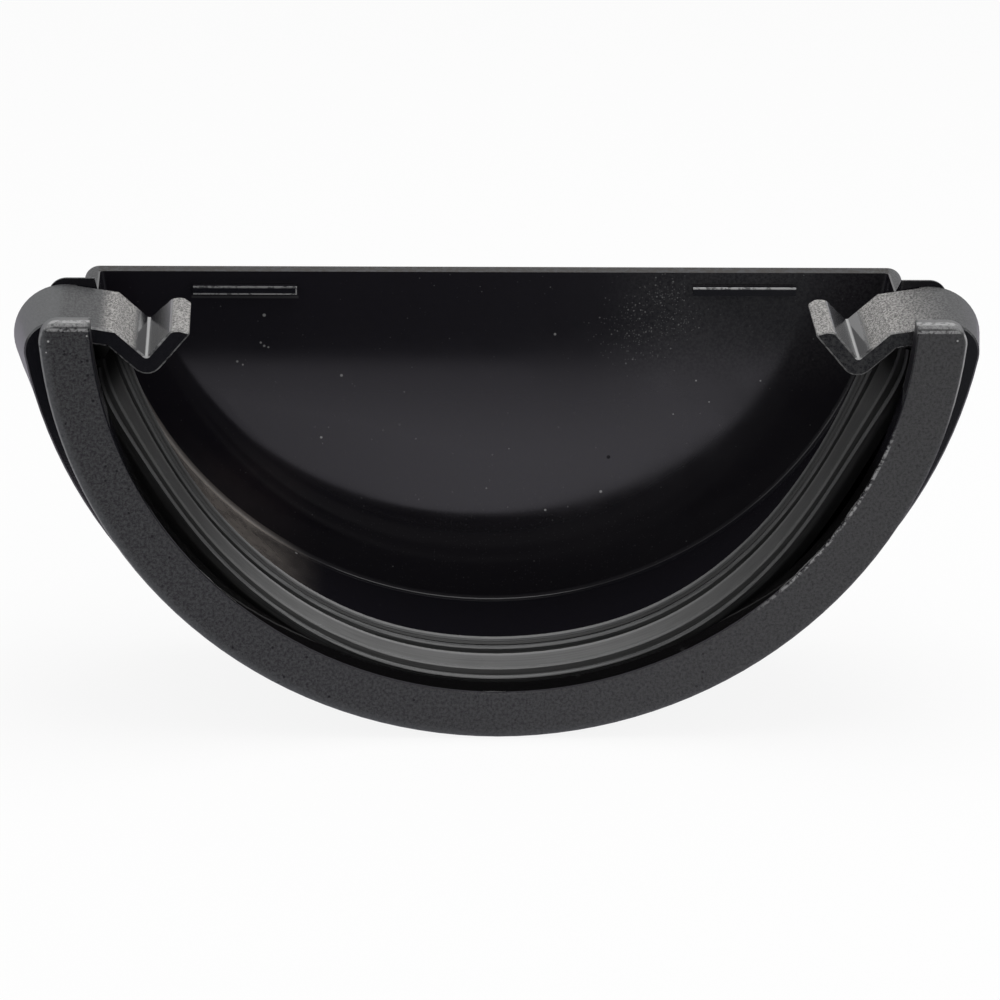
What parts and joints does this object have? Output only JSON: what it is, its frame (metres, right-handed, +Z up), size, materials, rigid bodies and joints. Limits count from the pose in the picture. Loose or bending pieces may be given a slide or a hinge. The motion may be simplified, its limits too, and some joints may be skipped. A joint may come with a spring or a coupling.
{
  "type": "half-round gutter end cap",
  "caption": "Black plastic end cap for a half-round rain gutter, with a flat end plate, a front rim, snap clips at both top edges and a ribbed rubber seal in the socket.",
  "frame": {"origin": "on the gutter's axis in the plane of the mouth", "axes": "-Y out of the mouth along the gutter, +Y towards the end plate, +X across the gutter, +Z up as installed"},
  "size_m": [0.1372, 0.0378, 0.0618],
  "materials": {
    "cap_plastic": "black moulded plastic, grained on the rim and clips, glossy inside the channel",
    "seal_rubber": "dark grey rubber, matt with a little dust"
  },
  "bodies": {
    "root": {"end_cap_body": "cap_plastic", "rubber_seal": "seal_rubber"}
  },
  "joints": []
}
